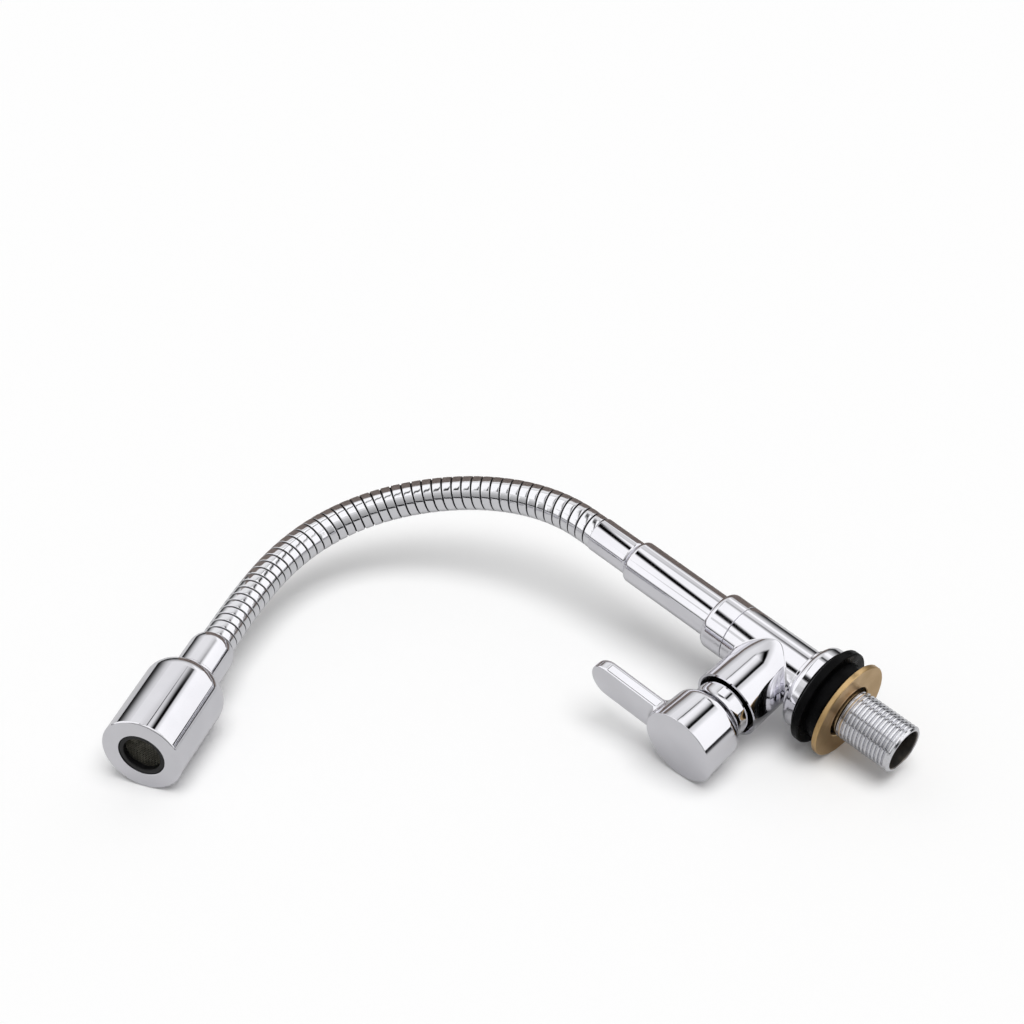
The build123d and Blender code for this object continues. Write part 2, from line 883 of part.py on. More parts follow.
for make in (upper_ferrule, head_band, head_nipple, nipple_oring, spray_bell):
    parts[make.__name__] = head_frame * make()
for make in (aerator_cage, aerator_screen, aerator_diffuser, aerator_seal):
    parts[make.__name__] = head_frame * make()
for make in (valve_seal, fixed_disc, moving_disc, cartridge_body, cartridge_oring):
    parts[make.__name__] = on_branch(make())
for make in (spindle, spindle_oring, spindle_clip, lever_handle, handle_bush, grub_screw):
    parts[make.__name__] = on_branch(make())

os.makedirs("parts", exist_ok=True)
for name, part in parts.items():
    export_step(part, f"parts/{name}.step")
print(len(parts), "parts")
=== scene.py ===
import json
import math

import bmesh
import bpy
import numpy as np
from mathutils import Matrix, Vector

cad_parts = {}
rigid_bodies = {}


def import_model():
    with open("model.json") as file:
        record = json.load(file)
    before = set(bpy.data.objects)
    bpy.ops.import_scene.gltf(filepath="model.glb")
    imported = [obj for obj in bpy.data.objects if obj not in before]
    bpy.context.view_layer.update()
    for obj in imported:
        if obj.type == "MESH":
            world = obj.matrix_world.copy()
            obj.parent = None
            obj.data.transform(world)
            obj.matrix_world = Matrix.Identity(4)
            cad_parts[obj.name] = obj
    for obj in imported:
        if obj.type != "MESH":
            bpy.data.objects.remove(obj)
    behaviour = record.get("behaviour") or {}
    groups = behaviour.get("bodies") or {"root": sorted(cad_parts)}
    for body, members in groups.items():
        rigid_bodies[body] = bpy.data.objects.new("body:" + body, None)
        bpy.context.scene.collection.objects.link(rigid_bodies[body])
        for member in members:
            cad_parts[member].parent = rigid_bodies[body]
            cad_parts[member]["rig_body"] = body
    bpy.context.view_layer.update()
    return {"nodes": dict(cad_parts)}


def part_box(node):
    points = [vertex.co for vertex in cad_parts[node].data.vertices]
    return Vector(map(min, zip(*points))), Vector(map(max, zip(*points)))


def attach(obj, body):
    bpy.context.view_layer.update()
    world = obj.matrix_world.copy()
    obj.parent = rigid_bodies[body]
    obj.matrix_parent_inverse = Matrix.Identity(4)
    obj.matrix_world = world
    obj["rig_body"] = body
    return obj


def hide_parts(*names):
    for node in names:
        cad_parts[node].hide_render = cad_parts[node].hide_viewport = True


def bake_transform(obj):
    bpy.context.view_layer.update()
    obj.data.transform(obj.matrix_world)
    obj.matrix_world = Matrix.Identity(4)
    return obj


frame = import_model()
print("frame loaded:", len(frame["nodes"]), "nodes")

mm = 0.001

# The tap lies on its side, so the floor stands nearly upright in the tap's own frame.
floorDrop = -21.76  # the floor's distance from the tap's origin, along floorUp
floorUp = Vector((0.974, 0.1626, 0.1578)).normalized()
floorAhead = Vector((-0.2266, 0.6910, 0.6864))
floorAhead = (floorAhead - floorUp * floorAhead.dot(floorUp)).normalized()
floorSide = floorAhead.cross(floorUp)
stageFrame = Matrix((floorSide, floorAhead, floorUp)).transposed().to_4x4()
stageFrame.translation = floorUp * floorDrop * mm


class Wire:
    # One shader socket; sums written on it become Math nodes.
    def __init__(self, tree, socket=None):
        self.tree = tree
        self.socket = socket

    def node(self, kind, settings=None, inputs=None, out=0):
        made = self.tree.nodes.new("ShaderNode" + kind)
        for name, value in (settings or {}).items():
            setattr(made, name, value)
        for name, value in (inputs or {}).items():
            if isinstance(value, Wire):
                self.tree.links.new(value.socket, made.inputs[name])
            else:
                made.inputs[name].default_value = value
        return Wire(self.tree, made.outputs[out] if made.outputs else None)

    def math(self, operation, *values):
        return self.node("Math", {"operation": operation}, dict(enumerate(values)))

    def __add__(self, other):
        return self.math("ADD", self, other)

    __radd__ = __add__

    def __sub__(self, other):
        return self.math("SUBTRACT", self, other)

    def __rsub__(self, other):
        return self.math("SUBTRACT", other, self)

    def __mul__(self, other):
        return self.math("MULTIPLY", self, other)

    __rmul__ = __mul__

    def __truediv__(self, other):
        return self.math("DIVIDE", self, other)

    def spread(self, low, high, fromLow=0.0, fromHigh=1.0):
        # this value's range carried to another one, with soft ends
        ends = {"Value": self, "From Min": fromLow, "From Max": fromHigh, "To Min": low, "To Max": high}
        return self.node("MapRange", {"interpolation_type": "SMOOTHSTEP"}, ends)

    def tint(self, low, high):
        # a colour between two, by this value
        return self.node("Mix", {"data_type": "RGBA"}, {0: self, 6: low, 7: high}, 2)

    def axis(self, number):
        return self.node("SeparateXYZ", {}, {0: self}, number)

    def move(self, operation, other):
        return self.node("VectorMath", {"operation": operation}, {0: self, 1: other})

    def length(self):
        return self.node("VectorMath", {"operation": "LENGTH"}, {0: self}, "Value")

    def noise(self, scale, detail=2.0, roughness=0.5):
        values = {"Vector": self, "Scale": scale, "Detail": detail, "Roughness": roughness}
        return self.node("TexNoise", {}, values)


def rgb(*values):
    return (*values, 1.0)


def newFinish(name, steady):
    # a material, its place wire in metres, and a call that links what varies
    made = bpy.data.materials.new(name)
    made.use_nodes = True
    shader = made.node_tree.nodes["Principled BSDF"]
    for socket, value in steady.items():
        shader.inputs[socket].default_value = value
    wire = Wire(made.node_tree)
    place = wire.node("TexCoord", {}, {}, "Object")

    def feed(**links):
        for socket, link in links.items():
            made.node_tree.links.new(link.socket, shader.inputs[socket.replace("_", " ")])

    return made, place, feed


def bumped(height, strength, deep):
    # deep is in millimetres
    return height.node("Bump", {}, {"Height": height, "Strength": strength, "Distance": deep * mm}, "Normal")


patches = (0.3, 0.7)  # where most of a noise's values lie
sharpPatches = (0.35, 0.65)


polish = {"bright": rgb(0.85, 0.845, 0.885), "dull": rgb(0.80, 0.795, 0.835), "clean": 0.035, "hazy": 0.075,
          "hazeScale": 55, "hazeEnds": (0.35, 0.75), "grainScale": 2600, "grain": 0.012, "grainDeep": 0.02}


def chromeFinish():
    made, place, feed = newFinish("polishedChrome", {"Metallic": 1.0})
    haze = place.noise(polish["hazeScale"], 3)
    grain = place.noise(polish["grainScale"], 1)
    feed(Base_Color=haze.spread(0, 1, *patches).tint(polish["dull"], polish["bright"]),
         Roughness=haze.spread(polish["clean"], polish["hazy"], *polish["hazeEnds"]),
         Normal=bumped(grain, polish["grain"], polish["grainDeep"]))
    return made


# seam is the grooves' colour, nearly black: painted shade between the ribs
wound = {"bright": rgb(0.86, 0.86, 0.89), "seam": rgb(0.018, 0.018, 0.02), "clean": 0.07, "rubbed": 0.16,
         "seamRough": 0.5, "rubScale": 420, "rubEnds": (0.35, 0.8), "wave": 0.05, "waveScale": 700,
         "waveDeep": 0.06}


def hoseChromeFinish():
    made, place, feed = newFinish("woundChrome", {"Metallic": 1.0})
    seam = place.node("Attribute", {"attribute_name": "seam"}, {}, "Fac")
    rub = place.noise(wound["rubScale"], 3)
    worn = rub.spread(wound["clean"], wound["rubbed"], *wound["rubEnds"])
    wave = place.noise(wound["waveScale"], 1)
    # the grooves are tinted nearly black: painted shade between the ribs
    feed(Base_Color=seam.tint(wound["bright"], wound["seam"]),
         Roughness=worn + seam * (wound["seamRough"] - wound["clean"]),
         Normal=bumped(wave, wound["wave"], wound["waveDeep"]))
    return made


# root is the thread roots' colour, darker than the crests: painted shade in the grooves
tailLook = {"plated": rgb(0.84, 0.845, 0.88), "worn": rgb(0.70, 0.70, 0.73), "root": rgb(0.52, 0.52, 0.55),
            "inside": rgb(0.19, 0.18, 0.175), "insideBlotches": rgb(0.28, 0.25, 0.22), "blotchesScale": 260,
            "blotchesEnds": (0.35, 0.7), "clean": 0.09, "cut": 0.2, "cutEnds": (0.3, 0.8), "wornEnds": (0.4, 0.75),
            "insideRough": 0.3, "scratchScale": 900, "scratch": 0.12, "scratchDeep": 0.04,
            "boreEdge": 8.95, "edgeWide": 0.05}


def tailFinish():
    made, place, feed = newFinish("threadedChrome", {"Metallic": 1.0})
    seam = place.node("Attribute", {"attribute_name": "seam"}, {}, "Fac")
    radius = place.move("MULTIPLY", (1, 1, 0)).length()
    boreEdge = tailLook["boreEdge"]
    inside = radius.spread(1, 0, (boreEdge - tailLook["edgeWide"]) * mm, boreEdge * mm)
    cut = place.noise(tailLook["scratchScale"], 4, 0.7)
    outer = cut.spread(0, 1, *tailLook["wornEnds"]).tint(tailLook["plated"], tailLook["worn"])
    # the bore's inside is dark grey with blotches
    blotches = place.noise(tailLook["blotchesScale"], 4, 0.6).spread(0, 1, *tailLook["blotchesEnds"])
    inner = blotches.tint(tailLook["inside"], tailLook["insideBlotches"])
    rough = cut.spread(tailLook["clean"], tailLook["cut"], *tailLook["cutEnds"])
    # the thread's roots are tinted darker: painted shade in the grooves
    feed(Base_Color=inside.tint(seam.tint(outer, tailLook["root"]), inner),
         Roughness=rough + inside * tailLook["insideRough"],
         Normal=bumped(cut, tailLook["scratch"], tailLook["scratchDeep"]))
    return made


brassLook = {"light": rgb(0.70, 0.485, 0.245), "deep": rgb(0.54, 0.355, 0.16), "clean": 0.27, "dull": 0.35,
             "ringScale": 5200, "ring": 0.12, "ringDeep": 0.05, "ringShare": 0.3, "tarnishScale": 75}
# the cartridge's brass painted nearly black: painted shade in the recess at the branch's mouth
valveShadeLook = brassLook | {"light": rgb(0.035, 0.028, 0.02), "deep": rgb(0.012, 0.010, 0.008), "clean": 0.4,
                         "dull": 0.55}


def brassFinish(name, look):
    # turned brass: fine tool rings about the tap's axis, under a light tarnish
    made, place, feed = newFinish(name, {"Metallic": 1.0})
    radius = place.move("MULTIPLY", (1, 1, 0)).length()
    ringPlace = radius.node("CombineXYZ", {}, {0: radius, 1: place.axis(2)})
    rings = ringPlace.noise(look["ringScale"], 2, 0.6)
    tarnish = place.noise(look["tarnishScale"], 3)
    shade = (tarnish * (1 - look["ringShare"]) + rings * look["ringShare"]).spread(0, 1, *patches)
    feed(Base_Color=shade.tint(look["deep"], look["light"]),
         Roughness=tarnish.spread(look["dull"], look["clean"], *patches),
         Normal=bumped(rings, look["ring"], look["ringDeep"]))
    return made


mould = {"sheen": 0.5, "fineScale": 3200, "fine": 0.06, "lumpShare": 0.6, "uneven": 0.08, "deep": 0.4}


def mouldedFinish(name, look):
    # moulded rubber, plastic, fired clay or pressed fibre: slow lumps and a fine surface grain
    look = mould | look
    made, place, feed = newFinish(name, {"Specular IOR Level": look["sheen"]})
    lumps = place.noise(look["lumpScale"], 3)
    grainy = place.noise(look["fineScale"], 2, 0.6)
    shade = lumps * look["lumpShare"] + grainy * (1 - look["lumpShare"])
    rough, uneven = look["rough"], look["uneven"]
    feed(Base_Color=shade.spread(0, 1, *sharpPatches).tint(look["dark"], look["light"]),
         Roughness=lumps.spread(rough - uneven, rough + uneven, *patches),
         Normal=bumped(lumps * look["lump"] + grainy * look["fine"], 1.0, look["deep"]))
    return made


steelLook = {"dark": rgb(0.42, 0.42, 0.43), "light": rgb(0.60, 0.60, 0.61), "brushScale": 400, "brushLong": 30,
             "clean": 0.22, "dull": 0.4, "brush": 0.08, "brushDeep": 0.04}


def steelFinish():
    made, place, feed = newFinish("brushedSteel", {"Metallic": 1.0})
    brushed = place.move("MULTIPLY", (1, 1, steelLook["brushLong"])).noise(steelLook["brushScale"], 3, 0.6)
    feed(Base_Color=brushed.tint(steelLook["dark"], steelLook["light"]),
         Roughness=brushed.spread(steelLook["clean"], steelLook["dull"], *patches),
         Normal=bumped(brushed, steelLook["brush"], steelLook["brushDeep"]))
    return made


wireLook = {"dark": rgb(0.13, 0.125, 0.10), "light": rgb(0.26, 0.25, 0.21), "stainScale": 500, "clean": 0.32,
            "dull": 0.5}


def meshWireFinish():
    made, place, feed = newFinish("screenWire", {"Metallic": 1.0})
    stain = place.noise(wireLook["stainScale"], 3)
    feed(Base_Color=stain.spread(0, 1, *sharpPatches).tint(wireLook["dark"], wireLook["light"]),
         Roughness=stain.spread(wireLook["clean"], wireLook["dull"], *patches))
    return made


gasketLook = {"dark": rgb(0.0012, 0.0012, 0.0014), "light": rgb(0.003, 0.003, 0.0034), "rough": 0.34,
              "lumpScale": 240, "lump": 0.5, "sheen": 0.06}
whiteLook = {"dark": rgb(0.72, 0.72, 0.69), "light": rgb(0.80, 0.80, 0.77), "rough": 0.35, "lumpScale": 150,
             "lump": 0.05}
blackLook = {"dark": rgb(0.004, 0.004, 0.0045), "light": rgb(0.009, 0.009, 0.0095), "rough": 0.2,
             "lumpScale": 260, "lump": 0.1, "sheen": 0.3}
ceramicLook = {"dark": rgb(0.78, 0.77, 0.74), "light": rgb(0.85, 0.84, 0.81), "rough": 0.16, "lumpScale": 200,
               "lump": 0.02, "fine": 0.01}
fibreLook = {"dark": rgb(0.30, 0.10, 0.06), "light": rgb(0.42, 0.16, 0.09), "rough": 0.75, "lumpScale": 500,
             "lump": 0.3, "fineScale": 1500, "fine": 0.4}
rubberLook = {"dark": rgb(0.030, 0.030, 0.032), "light": rgb(0.055, 0.055, 0.057), "rough": 0.6,
              "lumpScale": 300, "lump": 0.2}

finishes = {
    "chrome": chromeFinish(),
    "hose_chrome": hoseChromeFinish(),
    "brass": brassFinish("turnedBrass", brassLook),
    "black_rubber": mouldedFinish("blackRubber", gasketLook),
    "white_plastic": mouldedFinish("whitePlastic", whiteLook),
    "black_plastic": mouldedFinish("blackPlastic", blackLook),
    "steel": steelFinish(),
    "ceramic": mouldedFinish("firedCeramic", ceramicLook),
    "fibre": mouldedFinish("pressedFibre", fibreLook),
    "hose_rubber": mouldedFinish("hoseRubber", rubberLook),
}
tailMaterial = tailFinish()
wireMaterial = meshWireFinish()
# painted shade: the cartridge body's brass, nearly black
valveShadeMaterial = brassFinish("brassPaintedShade", valveShadeLook)
print("finishes made:", len(finishes) + 3)


def dressNodes():
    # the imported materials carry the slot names, so each is swapped for its finish
    for node in frame["nodes"].values():
        for place in node.material_slots:
            place.material = finishes[place.material.name]
    for place in frame["nodes"]["cartridge_body"].material_slots:
        place.material = valveShadeMaterial  # the same brass, painted nearly black as shade in the recess at the branch's mouth


dressNodes()


# Tubes with a wound wall: the hose, its water tube and the threaded tail

def straightRun(start):
    # the middle and the three directions of every section along a straight run
    def carry(along):
        along = along[..., None]
        middle = np.array(start["place"]) + along * np.array(start["heading"])
        fixed = [np.array(start[name]) + 0 * along for name in ("across", "up", "heading")]
        return middle, *fixed
    return carry


def arcRun(start, axis, turn, length):
    # the same along an arc that turns the heading by turn about axis, over a run of this length
    heading = np.array(start["heading"])
    hinge = np.array(axis)
    toward = np.array(axis.cross(start["heading"]))
    radius = 0.5 * length / math.tan(turn / 2)

    def carry(along):
        angle = (along / length * turn)[..., None]
        ahead = np.cos(angle) * heading + np.sin(angle) * toward
        inward = np.cos(angle) * toward - np.sin(angle) * heading
        middle = np.array(start["place"]) + radius * (np.sin(angle) * heading + (1 - np.cos(angle)) * toward)
        turned = []
        for name in ("across", "up"):
            steady = np.array(start[name])
            turned.append(steady @ toward * inward + steady @ hinge * hinge)
        return middle, *turned, ahead
    return carry


def woundTube(name, wall, rows, pitch, angles, ends, lining, carry, material, seam=None):
    # wall(along, angle) is the outer radius; rows climb by the pitch in one turn and are cut square at the ends
    low, high = (np.broadcast_to(end, angles.shape) for end in ends)
    along = np.clip(rows[:, None] + pitch * angles / math.tau, low, high)
    angle = np.broadcast_to(angles, along.shape)
    radius = wall(along, angle)
    step = 0.005 * mm  # how far the wall's slope is measured along and around
    turnStep = 0.001
    slope = (wall(along + step, angle) - wall(along - step, angle)) / (2 * step)
    twist = (wall(along, angle + turnStep) - wall(along, angle - turnStep)) / (2 * turnStep * radius)

    for innerRadius, atTop, inset in lining:
        end = high - inset if atTop else low + inset
        along = np.vstack([along, end])
        radius = np.vstack([radius, np.full(angles.shape, innerRadius)])
    angle = np.broadcast_to(angles, along.shape)
    middle, across, up, ahead = carry(along)
    outward = np.cos(angle)[..., None] * across + np.sin(angle)[..., None] * up
    aside = np.cos(angle)[..., None] * up - np.sin(angle)[..., None] * across
    places = middle + radius[..., None] * outward

    outer = len(rows)
    wallNormal = outward[:outer] - slope[..., None] * ahead[:outer] - twist[..., None] * aside[:outer]
    faces, normals = [], []
    columns = len(angles)
    for row in range(len(along)):
        after = (row + 1) % len(along)
        rise = (along[after] - along[row])[:, None]
        reach = (radius[after] - radius[row])[:, None]
        flat = rise * outward[row] - reach * ahead[row]
        for column in range(columns - 1):
            corners = ((row, column), (row, column + 1), (after, column + 1), (after, column))
            faces.append([r * columns + c for r, c in corners])
            for r, c in corners:
                normals.append(wallNormal[r, c] if after < outer and after > row else flat[c])
    normals = np.array(normals)
    normals /= np.maximum(np.linalg.norm(normals, axis=1), 1e-12)[:, None]

    mesh = bpy.data.meshes.new(name)
    mesh.from_pydata(places.reshape(-1, 3).tolist(), [], faces)
    mesh.attributes.new("shading", "FLOAT_VECTOR", "CORNER").data.foreach_set("vector", normals.ravel())
    if seam:
        depth = np.zeros(along.shape)
        depth[:outer] = seam(along[:outer], angle[:outer])
        mesh.attributes.new("seam", "FLOAT", "POINT").data.foreach_set("value", depth.ravel())
    cleaned = bmesh.new()  # welds the seam and the rows that were clipped to one place
    cleaned.from_mesh(mesh)
    bmesh.ops.remove_doubles(cleaned, verts=cleaned.verts, dist=0.0003 * mm)
    cleaned.to_mesh(mesh)
    cleaned.free()
    kept = np.zeros(len(mesh.loops) * 3)
    mesh.attributes["shading"].data.foreach_get("vector", kept)
    mesh.attributes.remove(mesh.attributes["shading"])
    mesh.shade_smooth()
    mesh.normals_split_custom_set(kept.reshape(-1, 3).tolist())
    piece = bpy.data.objects.new(name, mesh)
    bpy.context.scene.collection.objects.link(piece)
    mesh.materials.append(material)
    return piece


def roundAngles(count):
    return np.array([math.tau * k / count for k in range(count + 1)])


def smooth(value):
    value = np.clip(value, 0, 1)
    return value * value * (3 - 2 * value)


hose = {"start": 124.3, "segment": 13.3, "segments": 16, "turn": 114.3, "sag": -11.1, "drift": -1.6,
        "terms": (0.178, -0.344, 0.344), "radius": 7.3, "crown": 0.11, "groove": 0.5, "grooveFrom": 0.81,
        "grooveWide": 0.04, "bore": 5.0, "ribsPerSegment": 3, "around": 84,
        "stops": (0.0, 0.04, 0.075, 0.085, 0.095, 0.13, 0.2, 0.3, 0.42, 0.58, 0.7, 0.8, 0.87, 0.905, 0.915, 0.925,
                  0.96)}
waterTube = {"radius": 4.0, "bore": 2.6, "low": 112.0, "pastHose": 6.0, "around": 32, "rows": 7}


def hoseHeadings():
    # the direction of each stiff length: a bend that swells and eases, with a slight lean to one side
    joints = hose["segments"] - 1
    weights = []
    for joint in range(1, joints + 1):
        along = (joint - 0.5) / joints
        waves = [size * math.cos(order * math.pi * along) for order, size in enumerate(hose["terms"], 1)]
        weights.append(1 + sum(waves))
    headings = [Vector((0, 0, 1))]
    for joint in range(1, joints + 1):
        bend = math.radians(hose["turn"]) * sum(weights[:joint]) / sum(weights)
        along = joint / joints
        lean = math.radians(hose["sag"] * math.sin(1.5 * math.pi * along) + hose["drift"] * along)
        flat = math.cos(lean)
        headings.append(Vector((math.sin(lean), -flat * math.sin(bend), flat * math.cos(bend))))
    return headings


def ribPlace(along, angle):
    # 0 on a rib's crown, 1 in the middle of the groove
    pitch = hose["segment"] / hose["ribsPerSegment"] * mm
    turns = (along / pitch - angle / math.tau) % 1
    return np.abs(2 * turns - 1)


def ribWall(along, angle):
    place = ribPlace(along, angle)
    fall = hose["crown"] * place ** 4 + hose["groove"] * smooth((place - hose["grooveFrom"]) / hose["grooveWide"])
    return (hose["radius"] - fall) * mm


def ribSeam(along, angle):
    return smooth((ribPlace(along, angle) - hose["grooveFrom"]) / hose["grooveWide"])


def waterWall(along, angle):
    return np.full(np.shape(along), waterTube["radius"] * mm)


def hoseRows(low, high):
    # the rib's stops, repeated over more turns than the length needs
    pitch = hose["segment"] / hose["ribsPerSegment"]
    first = math.floor(low / pitch) - 2
    last = math.ceil(high / pitch) + 1
    rows = [(turn + stop) * pitch for turn in range(first, last) for stop in hose["stops"]]
    return np.array(rows) * mm


def windHose():
    # between the middles of two stiff lengths the hose follows one arc, which bends across their joint
    headings = hoseHeadings()
    length = hose["segment"]
    half = length / 2
    ribPitch = length / hose["ribsPerSegment"] * mm
    place = Vector((0, 0, hose["start"])) * mm
    start = {"place": place, "heading": headings[0], "across": Vector((1, 0, 0)), "up": Vector((0, 1, 0))}
    for number in range(hose["segments"] + 1):
        low = 0 if number == 0 else half + (number - 1) * length
        high = half + number * length if number < hose["segments"] else hose["segments"] * length
        reach = (high - low) * mm
        first, last = number == 0, number == hose["segments"]
        if first or last:
            run = straightRun(start)
        else:
            before, after = headings[number - 1], headings[number]
            axis = before.cross(after).normalized()
            run = arcRun(start, axis, before.angle(after), reach)

        def carry(along, low=low, run=run):
            return run(along - low * mm)

        tubeLow = waterTube["low"] - hose["start"] if first else low
        tubeHigh = high + waterTube["pastHose"] if last else high
        bore = hose["bore"] * mm
        ribs = woundTube(f"wound_hose_{number:02d}", ribWall, hoseRows(low, high), ribPitch,
                         roundAngles(hose["around"]), (low * mm, high * mm), ((bore, True, 0), (bore, False, 0)),
                         carry, finishes["hose_chrome"], ribSeam)
        bore = waterTube["bore"] * mm
        tubeRows = np.linspace(tubeLow, tubeHigh, waterTube["rows"]) * mm
        tube = woundTube(f"water_tube_{number:02d}", waterWall, tubeRows, 0, roundAngles(waterTube["around"]),
                         (tubeLow * mm, tubeHigh * mm), ((bore, True, 0), (bore, False, 0)), carry,
                         finishes["hose_rubber"])
        lengths = [f"hose_{k:02d}" for k in (number, number + 1) if 1 <= k <= hose["segments"]]
        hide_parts(*lengths)
        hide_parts("inner_tube")
        for piece in (ribs, tube):
            if first or last:
                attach(piece, "spout" if first else "spray_head")
            else:
                start["place"] + (before + after) / 2 * reach
                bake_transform(piece)
        middle, across, up, ahead = (Vector(part[0]) for part in carry(np.array([high * mm])))
        start = {"place": middle, "heading": ahead, "across": across, "up": up}
    print("hose wound:", hose["segments"] + 1, "lengths")


windHose()

tail = {"crest": 10.4775, "root": 9.5, "pitch": 1.814, "low": -36.0, "high": 14.0, "bore": 8.6, "mouth": 9.0,
        "mouthDeep": 0.5, "rim": 9.75, "band": 1.25, "runIn": 1.2, "threadEnd": -9.6, "runOut": 1.5, "shank": 9.9,
        "crestShare": 0.34, "rootShare": 0.68, "seamFrom": 0.5, "seamWide": 0.4, "around": 120, "stops": 14}


def threadTurn(along, angle):
    # 0 on a crest, 1 in a root
    turns = (along / (tail["pitch"] * mm) - angle / math.tau) % 1
    return np.abs(2 * turns - 1)


def threadDepth(along):
    # the thread runs in behind the bevelled end band and runs out under the washer
    fromEnd = along / mm - tail["low"] - tail["band"]
    toEnd = tail["threadEnd"] - along / mm
    return smooth(fromEnd / tail["runIn"]) * smooth(toEnd / tail["runOut"])


def threadWall(along, angle):
    flank = smooth((threadTurn(along, angle) - tail["crestShare"]) / (tail["rootShare"] - tail["crestShare"]))
    fromEnd = along / mm - tail["low"]
    taper = smooth((along / mm - tail["threadEnd"] + tail["runOut"]) / tail["runOut"])
    outer = tail["crest"] - (tail["crest"] - tail["shank"]) * taper
    bevel = np.minimum(tail["rim"] + fromEnd, outer)
    return np.minimum(bevel, outer - (tail["crest"] - tail["root"]) * threadDepth(along) * flank) * mm


def threadSeam(along, angle):
    return smooth((threadTurn(along, angle) - tail["seamFrom"]) / tail["seamWide"]) * threadDepth(along)


def cutTail():
    first = math.floor(tail["low"] / tail["pitch"]) - 2
    last = math.ceil(tail["high"] / tail["pitch"]) + 1
    stops = [stop / tail["stops"] for stop in range(tail["stops"])]
    rows = [(turn + stop) * tail["pitch"] for turn in range(first, last) for stop in stops]
    lining = ((tail["bore"] * mm, True, 0), (tail["bore"] * mm, False, tail["mouthDeep"] * mm),
              (tail["mouth"] * mm, False, 0))
    start = {"place": Vector((0, 0, 0)), "heading": Vector((0, 0, 1)), "across": Vector((1, 0, 0)),
             "up": Vector((0, 1, 0))}
    piece = woundTube("threaded_tail", threadWall, np.array(rows) * mm, tail["pitch"] * mm,
                      roundAngles(tail["around"]), (tail["low"] * mm, tail["high"] * mm), lining,
                      straightRun(start), tailMaterial, threadSeam)
    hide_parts("threaded_shank")
    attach(piece, "base")
    print("tail cut:", len(piece.data.vertices), "points")


cutTail()

screen = {"radius": 8.35, "pitch": 0.9, "wire": 0.14, "sides": 6, "perGap": 3}


def weaveScreen():
    # plain weave: each wire rides over one crossing wire and under the next
    heading = hoseHeadings()[-1]
    across = heading.orthogonal().normalized()
    up = heading.cross(across)
    low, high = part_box("aerator_screen")
    centre = (low + high) / 2
    reach = screen["radius"]
    count = int(reach // screen["pitch"])
    verts, faces = [], []
    for one, other, flip in ((across, up, 1), (up, across, -1)):
        for line in range(-count, count + 1):
            offset = line * screen["pitch"]
            half = math.sqrt(max(reach ** 2 - offset ** 2, 0.01))
            steps = max(2, round(2 * half / screen["pitch"] * screen["perGap"]))
            base = len(verts)
            for step in range(steps + 1):
                along = -half + 2 * half * step / steps
                lift = flip * screen["wire"] * math.cos(math.pi * (along / screen["pitch"] + line))
                middle = centre + (one * along + other * offset + heading * lift) * mm
                for side in range(screen["sides"]):
                    angle = math.tau * side / screen["sides"]
                    ring = other * math.cos(angle) + heading * math.sin(angle)
                    verts.append(middle + ring * screen["wire"] * mm)
            for step in range(steps):
                for side in range(screen["sides"]):
                    after = (side + 1) % screen["sides"]
                    here, there = base + step * screen["sides"], base + (step + 1) * screen["sides"]
                    faces.append((here + side, here + after, there + after, there + side))
            for end in (0, steps):
                faces.append([base + end * screen["sides"] + side for side in range(screen["sides"])])
    mesh = bpy.data.meshes.new("woven_screen")
    mesh.from_pydata(verts, [], faces)
    tidied = bmesh.new()
    tidied.from_mesh(mesh)
    bmesh.ops.recalc_face_normals(tidied, faces=tidied.faces)
    tidied.to_mesh(mesh)
    tidied.free()
    mesh.shade_smooth()
    mesh.materials.append(wireMaterial)
    piece = bpy.data.objects.new("woven_screen", mesh)
    bpy.context.scene.collection.objects.link(piece)
    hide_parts("aerator_screen")
    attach(piece, "spray_head")
    print("screen woven:", 2 * (2 * count + 1), "wires")


weaveScreen()


# The floor, the lights over it and the camera, in stage places: along the floor to the right,
# away from the camera and above the floor

def stageSheet(name, corners, material, seenByCamera):
    mesh = bpy.data.meshes.new(name)
    mesh.from_pydata([Vector(corner) * mm for corner in corners], [], [(0, 1, 2, 3)])
    mesh.materials.append(material)
    sheet = bpy.data.objects.new(name, mesh)
    sheet.matrix_world = stageFrame
    bpy.context.scene.collection.objects.link(sheet)
    sheet.visible_camera = seenByCamera
    return sheet


def stageMaterial(name):
    # an empty material, its place wire in millimetres on the stage, and a call that closes it
    made = bpy.data.materials.new(name)
    made.use_nodes = True
    made.node_tree.nodes.clear()
    wire = Wire(made.node_tree)
    place = wire.node("TexCoord", {}, {}, "Object").move("MULTIPLY", (1000, 1000, 1000))

    def close(surface):
        wire.node("OutputMaterial", {}, {"Surface": surface})

    return made, place, close


floorLook = {"albedo": 0.59, "seenAlbedo": 0.975, "lift": 0.02, "liftInChrome": 0.02, "left": -1500, "right": 900,
             "near": -1100, "far": 1150, "fadeFrom": 60, "fadeTo": 330, "fade": 0.12}


